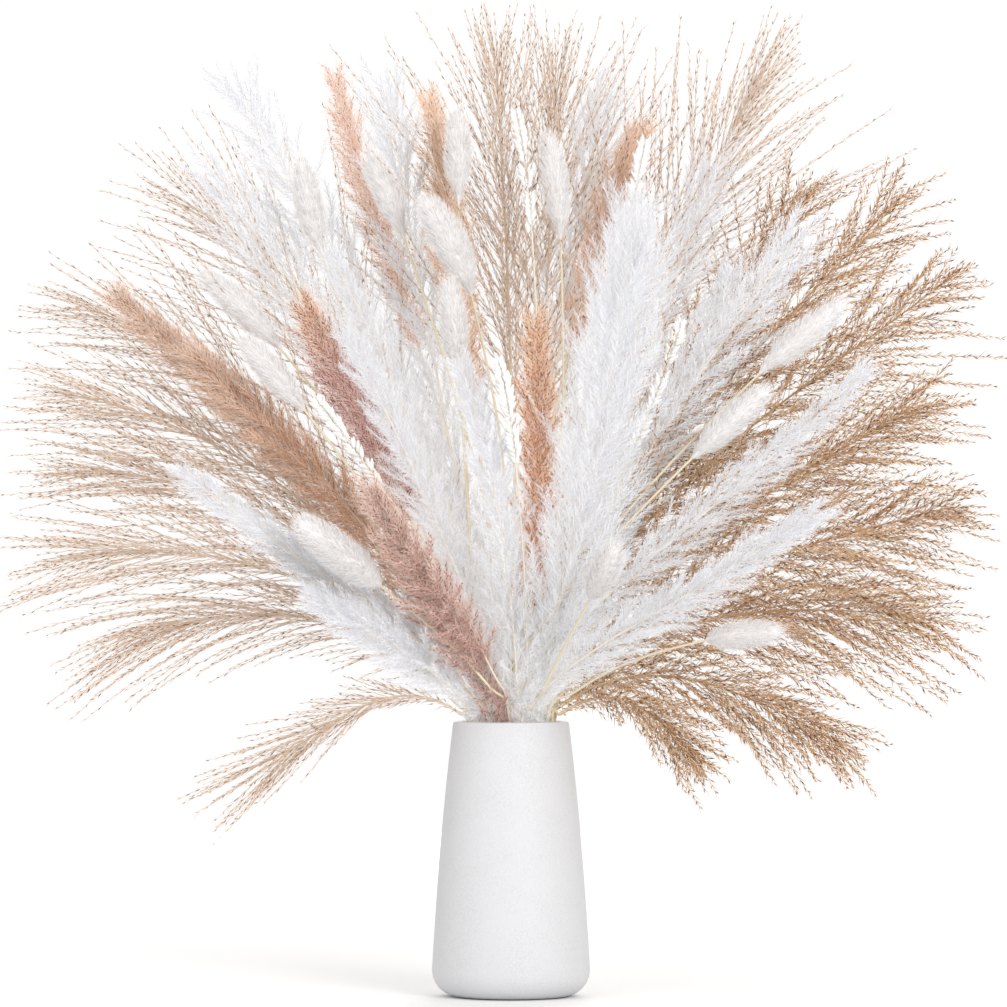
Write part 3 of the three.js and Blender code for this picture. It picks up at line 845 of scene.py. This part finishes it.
lightOwn = {
    1: {"reach": 0.075, "droop": 0.0, "branchlets": 110, "shape": swelling(0.05, 0.95, 0.55)},
    2: {"droop": 0.28}, 8: {"start": -0.15}, 9: {"start": -0.15}, 10: {"start": -0.1},
}
growStems(lightReed, lightOwn, strandTree, [strandMaterial("lightReed", lightReedLook)])

brownReed = {
    "node": "brown_reed", "count": 8, "slot": "brown_reed_grass", "firstSeed": 1000,
    "reach": 0.072, "shape": swelling(0.15, 0.85, 0.35), "opening": (0.95, 0.42), "stemRadius": 0.0010,
    "start": -0.45, "branchlets": 176, "branchletRadius": 0.0002, "curl": 0.20, "droop": 0.20, "sway": 0.16,
    "unevenness": 0.35, "hairSpacing": 0.0016, "hairLength": 0.0074, "hairRadius": 0.00025,
    "hairOpening": 0.6, "hairBareShare": 0.1, "spikeletSpacing": 0.0032, "spikeletLength": 0.0050,
    "spikeletRadius": 0.00038, "spikeletOpening": 0.5, "spikeletBareShare": 0.2,
}
brownReedLook = {
    "Foot": "f2dcc0", "Middle": "dab894", "Tip": "d0ab84", "Root Shade": "e4d2be", "End Tint": "ffffff",
    "Odd Hair": "fcf0dc", "Spikelet": "c69868", "Odd Spikelet": "744828", "Twig": "b88e60", "Stem": "dcccaa",
    "Odd Share": 0.35, "Odd Spikelet Share": 0.5, "Unevenness": 0.2, "roughness": 0.65, "sheen": 0.2,
}
brownOwn = {n: {"branchlets": 196} for n in (1, 2, 3, 4)}
brownOwn[7] = {"start": -0.42, "reach": 0.052, "branchlets": 160}
brownOwn[8] = {"start": -0.40, "reach": 0.042, "droop": 0.1, "branchlets": 130}
growStems(brownReed, brownOwn, strandTree, [strandMaterial("brownReed", brownReedLook)])

bunnyTail = {
    "node": "bunny_tail", "count": 13, "slot": "bunny_tail_fur", "firstSeed": 1200,
    "reach": 0.0054, "shape": oval(0.42), "stemRadius": 0.0007,
    "hairDensity": 1.5e6, "hairLength": 0.0062, "hairRadius": 0.00013, "hairOpening": 0.6,
}
bunnyLook = {
    "Foot": "fcfbfa", "Middle": "fdfcfc", "Tip": "fefdfd", "Root Shade": "ebe9e9", "End Tint": "ffffff",
    "Odd Hair": "e8e2da", "Spikelet": "e6e3e2", "Odd Spikelet": "e6e3e2", "Twig": "e4dac4", "Stem": "dcd0b4",
    "Odd Share": 0.12, "Unevenness": 0.05, "roughness": 0.7, "sheen": 0.2,
}
bunnyOwn = {n: {"reach": 0.0072} for n in (3, 7)}
growStems(bunnyTail, bunnyOwn, tuftTree, [strandMaterial("bunnyTailFur", bunnyLook)])


earEnd = {"fullness": 0.62, "bluntness": 0.7}


def earStretches(*stretches):
    # the ears of one stem, each from one share of the head to another
    def fullnessAt(share):
        full = np.zeros(len(share))
        for low, high in stretches:
            inside = (share >= low) & (share <= high)
            part = (share - low) / (high - low)
            swell = np.sin(np.clip(part, 0, 1) * math.pi) ** earEnd["bluntness"]
            full = np.where(inside, earEnd["fullness"] + (1 - earEnd["fullness"]) * swell, full)
        return full
    return fullnessAt


spikeletGrass = {
    "node": "spikelet_grass", "count": 5, "slot": "white_spikelet", "firstSeed": 1500,
    "reach": 1.0, "shape": earStretches((0.0, 0.2), (0.26, 0.46), (0.5, 1.0)), "stemRadius": 0.00055,
    "scales": 84, "scaleLength": 0.0062, "scaleWidth": 0.0023, "scaleThickness": 0.0013,
    "scaleOpening": 0.65, "roll": 0.3,
}
spikeletLook = {
    "Foot": "faf6ec", "Middle": "fbf8f0", "Tip": "fdfbf6", "Root Shade": "ffffff", "End Tint": "ffffff",
    "Odd Hair": "efefef", "Spikelet": "efefef", "Odd Spikelet": "e6e2dc", "Twig": "e2dac8", "Stem": "e2dac8",
    "Odd Share": 0.0, "Odd Spikelet Share": 0.25, "Unevenness": 0.05, "roughness": 0.6, "sheen": 0.0,
}
spikeletOwn = {
    4: {"shape": earStretches((0.0, 0.3), (0.36, 1.0))},
    5: {"shape": earStretches((0.0, 0.26), (0.32, 0.6), (0.66, 1.0))},
}
growStems(spikeletGrass, spikeletOwn, earTree, [strandMaterial("whiteSpikelet", spikeletLook)])

stage = {
    "floorSize": 3.6, "floorHeight": -0.0002, "floorShade": 0.92, "floorRoughness": 0.9,
    "floorSpecular": 0.1,
    "backdropStrength": 1.02, "worldStrength": 0.85,  # it is seen white, and lights a little more softly
    "lampsAim": (0, 0, 0.25),
    "lamps": [("key", (1.0, -2.0, 0.9), 1.0, 26.0), ("fill", (-1.3, -1.9, 0.6), 1.2, 9.0),
              ("back", (0.3, 2.2, 1.2), 1.6, 20.0)],  # name, place, size in metres, power in watts
}
view = {"from": (-0.00375, -2.6, 0.2), "at": (-0.00375, 0, 0.24575), "lens": 185.9, "sensorWidth": 36}


def facing(spot, target):
    return (Vector(target) - Vector(spot)).to_track_quat("-Z", "Y").to_euler()


def makeStage():
    bpy.ops.mesh.primitive_plane_add(size=stage["floorSize"], location=(0, 0, stage["floorHeight"]))
    floor = bpy.context.object
    floor.name = "floor"
    material, _, shader = newMaterial("paleFloor")
    shader.inputs["Base Color"].default_value = (*[stage["floorShade"]] * 3, 1)
    shader.inputs["Roughness"].default_value = stage["floorRoughness"]
    shader.inputs["Specular IOR Level"].default_value = stage["floorSpecular"]
    floor.data.materials.append(material)
    world = bpy.data.worlds.new("softWorld")
    world.use_nodes = True
    tree = world.node_tree
    background = tree.nodes["Background"]
    background.inputs["Color"].default_value = (1, 1, 1, 1)
    seen = place(tree, "ShaderNodeLightPath").outputs["Is Camera Ray"]
    extra = stage["backdropStrength"] - stage["worldStrength"]
    tree.links.new(scaledBy(tree, seen, extra, stage["worldStrength"]), background.inputs["Strength"])
    bpy.context.scene.world = world
    for name, spot, size, power in stage["lamps"]:
        lamp = bpy.data.lights.new(name, "AREA")
        lamp.shape = "DISK"
        lamp.size = size
        lamp.energy = power
        light = bpy.data.objects.new(name, lamp)
        light.location = spot
        light.rotation_euler = facing(spot, stage["lampsAim"])
        bpy.context.scene.collection.objects.link(light)


def makeCamera():
    eye = bpy.data.cameras.new("camera")
    eye.sensor_width = view["sensorWidth"]
    eye.lens = view["lens"]
    camera = bpy.data.objects.new("camera", eye)
    camera.location = view["from"]
    camera.rotation_euler = facing(view["from"], view["at"])
    bpy.context.scene.collection.objects.link(camera)
    bpy.context.scene.camera = camera


makeStage()
makeCamera()
bpy.context.scene.view_settings.view_transform = "Standard"
print("stage and camera ready")
